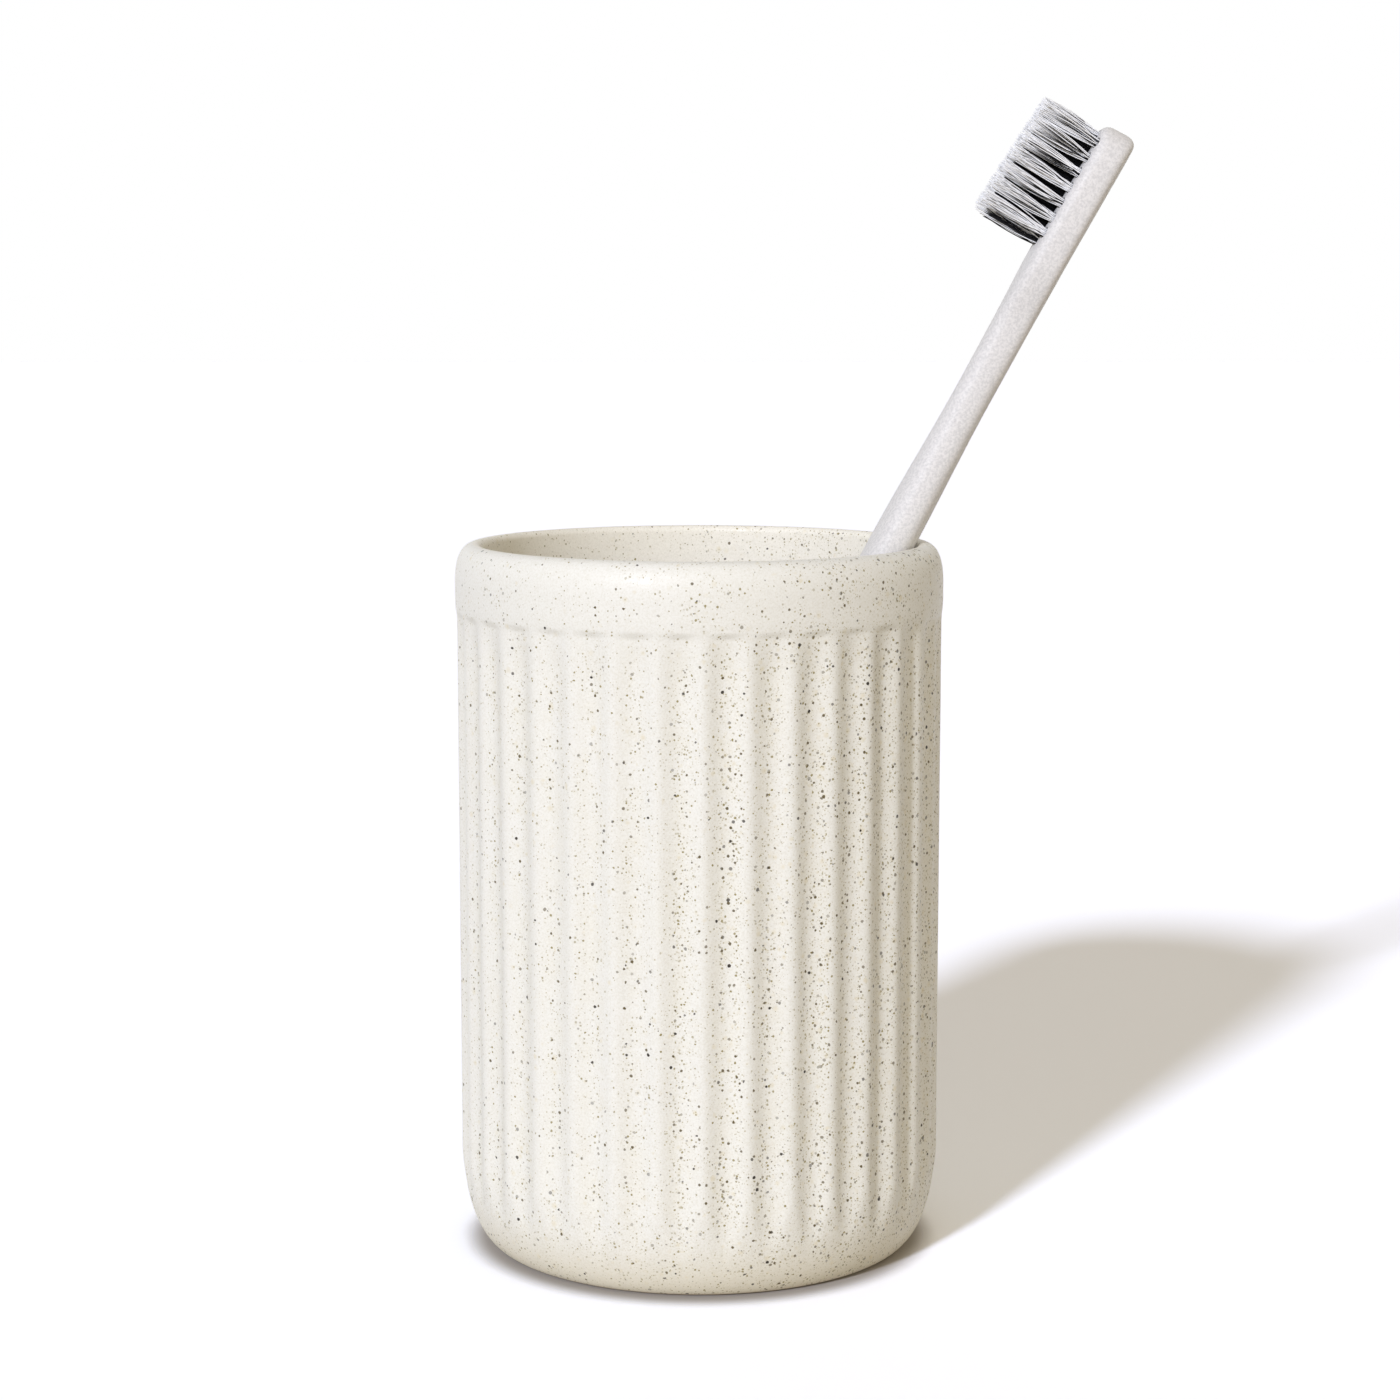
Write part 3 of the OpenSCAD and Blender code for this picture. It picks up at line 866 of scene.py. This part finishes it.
def tuft_strands(draw, outer, dark_share, height, z):
    """Strands of one tuft in its own frame: X out of the face of the head, Y across, Z to the toe.

    The white strands of a mixed black tuft are as long as those of a white tuft.
    """
    radius = OUTER_BRISTLE_R if outer else INNER_BRISTLE_R
    count = OUTER_BRISTLES if outer else INNER_BRISTLES
    spreads = OUTER_TIP_SHARES if outer else INNER_TIP_SHARES
    root_r = (OUTER_ROOT_R if outer else INNER_ROOT_R) - radius
    clear = ANCHOR_T / 2 + radius + ANCHOR_GAP
    beside = np.array([-math.sin(ANCHOR_TURN), math.cos(ANCHOR_TURN)])
    mixed = not outer and dark_share < 1
    tip_uneven = MIXED_TIP_UNEVEN if mixed else TIP_UNEVEN
    for k in range(count):
        share = math.sqrt((k + 0.5) / count)
        turn = k * GOLDEN_ANGLE
        # Both parts are (towards the toe, across)
        mouth = np.array([math.cos(turn), math.sin(turn)]) * share * root_r
        root = mouth.copy()
        # The bundle is folded over its anchor, so every strand runs down one side of that
        off = root @ beside
        if abs(off) < clear:
            root = root + beside * (math.copysign(clear, off) - off)
        # Strands stray from their places in the bundle, so that they cross on their way up
        turn += draw.gauss(0, STRAY_TURN)
        share = min(1, abs(share + draw.gauss(0, STRAY_OUT)))
        spread = np.array([math.cos(turn), math.sin(turn)]) * share * np.array(spreads) * TUFT_PITCH
        # Black strands stay inside a white tuft, where they are partly painted shade between the white
        # ones
        dark = draw.random() < (dark_share if share < DARK_REACH or not outer else 0)
        full = height if outer or dark else height / INNER_SHARE
        top = full - abs(draw.gauss(0, tip_uneven))
        toe = spread[0] + top * math.tan(BRISTLE_LEAN)
        toe = min(max(toe, FIRST_TUFT_Z + HEEL_TIP - z), BRUSH_LEN - TOE_TIP - z)
        tip = np.array([top, spread[1], toe])
        bow = np.array([0, draw.gauss(0, BOW_ACROSS), draw.gauss(0, BOW_ALONG)])
        low = np.array([HOLE_GAP - TUFT_HOLE_H, root[1], root[0]])
        start = np.array([0, mouth[1], mouth[0]])
        yield low, start, mix(start, tip, 0.5) + bow, tip, radius, dark


def make_tuft(row, number, y, z, material, matrix):
    draw = random.Random(f"{row}{number}")
    outer = row.startswith("outer")
    if outer:
        dark_share = OUTER_DARK
    else:
        dark_share = HEEL_DARK if number == 1 else 1
    height = mix(BRISTLE_HEEL_H, BRISTLE_TOE_H, (z - FIRST_TUFT_Z) / FIELD_LEN)
    if not outer:
        height *= INNER_SHARE
    points = []
    faces = []
    darks = []
    count = 0
    for low, start, knee, tip, radius, dark in tuft_strands(draw, outer, dark_share, height, z):
        rings = strand(start, knee, tip, radius)
        strand_points, strand_faces = skin([low + (rings[0] - start)] + rings)
        points.append(strand_points)
        faces += [tuple(count + v for v in face) for face in strand_faces]
        rise = (strand_points - start)[:, 0] / (tip[0] - start[0])
        # Painted shade: a black strand in a white tuft turns white towards its tip
        shade_faded = ease((rise - SHADE_FADE_FROM) / (SHADE_FADE_TO - SHADE_FADE_FROM)) if outer else 0 * rise
        darks.append(dark * (1 - shade_faded))
        count += len(strand_points)
    tuft = make_mesh(f"bristles_{row}_{number}", placed(on_head(np.vstack(points), y, z), matrix), faces)
    attribute = tuft.data.attributes.new("dark", "FLOAT", "POINT")
    attribute.data.foreach_set("value", np.hstack(darks).astype(np.float32))
    slot = "bristle_white" if outer else "bristle_black"
    settle(tuft, material, "toothbrush", slot, f"tuft_{row}_{number}")


def make_tufts(matrix):
    white = bristle_material("white_nylon")
    black = bristle_material("black_nylon")
    for row, number, y, z in tuft_places():
        make_tuft(row, number, y, z, white if row.startswith("outer") else black, matrix)


def dress_anchors():
    anchors = frame["nodes"]["tuft_anchors"]
    anchors.data.materials.clear()
    anchors.data.materials.append(anchor_material())


# Stage


def make_floor():
    """Pale floor, which the camera sees white in full light, without the light thrown by the tumbler, and
    with a painted contact shadow round the foot.
    """
    points = [(x * FLOOR_HALF, y * FLOOR_HALF, 0) for x, y in ((-1, -1), (1, -1), (1, 1), (-1, 1))]
    floor = make_mesh("floor", points, [(0, 1, 2, 3)], smooth=False)
    material = bpy.data.materials.new("pale_floor")
    n = Tree(material)
    n.tree.nodes.clear()
    place = n.add("ShaderNodeTexCoord").outputs["Object"]
    radius = n.vector("LENGTH", place)
    away = n.vector("NORMALIZE", place)
    lit_side = (-math.sin(SUN_TURN), -math.cos(SUN_TURN), 0)
    facing = n.vector("DOT_PRODUCT", away, lit_side)
    fade = n.math("EXPONENT", n.math("DIVIDE", n.math("SUBTRACT", RIM_R, radius), BOUNCE_FADE))
    thrown = n.math("MULTIPLY", n.math("MULTIPLY", fade, n.math("MAXIMUM", facing, 0.0)), BOUNCE_SHARE)
    level = n.math("DIVIDE", 1.0, n.math("ADD", thrown, 1.0))
    even = n.scaled(FLOOR_SEEN, level)
    # Painted contact shadow round the foot
    painted_contact_shadow = n.blend(n.step(radius, CONTACT_SHADOW_FROM, CONTACT_SHADOW_TO), CONTACT_SHADOW_COLOUR, WHITE)
    seen = n.vector("MULTIPLY", even, painted_contact_shadow)
    matte = n.add("ShaderNodeBsdfDiffuse", {"Color": n.seen(FLOOR_COLOUR, seen)})
    n.add("ShaderNodeOutputMaterial", {"Surface": matte.outputs[0]})
    floor.data.materials.append(material)


def make_world():
    """Soft light from above, in front and behind, which the camera sees as white."""
    world = bpy.data.worlds.new("studio")
    n = Tree(world)
    way = n.add("ShaderNodeTexCoord").outputs["Generated"]
    height = n.math("MAXIMUM", n.add("ShaderNodeSeparateXYZ", {0: way}).outputs["Z"], 0.0)
    reflector = (math.sin(REFLECTOR_TURN), -math.cos(REFLECTOR_TURN), 0)
    facing = n.vector("DOT_PRODUCT", way, reflector)
    low = n.math("SUBTRACT", 1.0, height)

    def lobe(towards, width_power, power, strength):
        wide = n.math("POWER", n.math("MAXIMUM", towards, 0.0), width_power)
        return n.math("MULTIPLY", n.math("MULTIPLY", wide, n.math("POWER", low, power)), strength)

    front = lobe(facing, REFLECTOR_WIDTH_POWER, REFLECTOR_POWER, REFLECTOR_STRENGTH)
    front = n.math("ADD", front, SKY_STRENGTH)
    rear = lobe(n.math("MULTIPLY", facing, -1.0), REAR_WIDTH_POWER, REAR_POWER, REAR_STRENGTH)
    glow = n.vector("ADD", n.scaled(SKY_COLOUR, front), n.scaled(REAR_COLOUR, rear))
    n.put(n.tree.nodes["Background"].inputs["Color"], n.seen(glow, WHITE))
    bpy.context.scene.world = world


def make_sun():
    level = math.cos(SUN_RISE)
    travel = Vector((math.sin(SUN_TURN) * level, math.cos(SUN_TURN) * level, -math.sin(SUN_RISE)))
    light = bpy.data.lights.new("key", "SUN")
    light.energy = SUN_STRENGTH
    light.angle = SUN_SIZE
    light.color = SUN_COLOUR
    sun = bpy.data.objects.new("key", light)
    sun.rotation_euler = travel.to_track_quat("-Z", "Y").to_euler()
    bpy.context.scene.collection.objects.link(sun)


def make_camera():
    data = bpy.data.cameras.new("camera")
    data.sensor_width = SENSOR_MM
    data.lens = FOCAL_PX / PHOTO_WIDTH * SENSOR_MM
    data.shift_x = (PHOTO_WIDTH / 2 - MIDDLE_PX) / PHOTO_WIDTH
    data.clip_start = NEAREST
    data.clip_end = FARTHEST
    camera = bpy.data.objects.new("camera", data)
    camera.location = CAMERA_PLACE
    camera.rotation_euler = (math.pi / 2 - CAMERA_PITCH, 0, 0)
    bpy.context.scene.collection.objects.link(camera)
    bpy.context.scene.camera = camera


make_camera()
make_sun()
make_world()
make_floor()
make_tumbler()
brush_place = brush_frame()
make_handle(brush_place)
make_tufts(brush_place)
dress_anchors()

bpy.context.scene.view_settings.view_transform = "Standard"
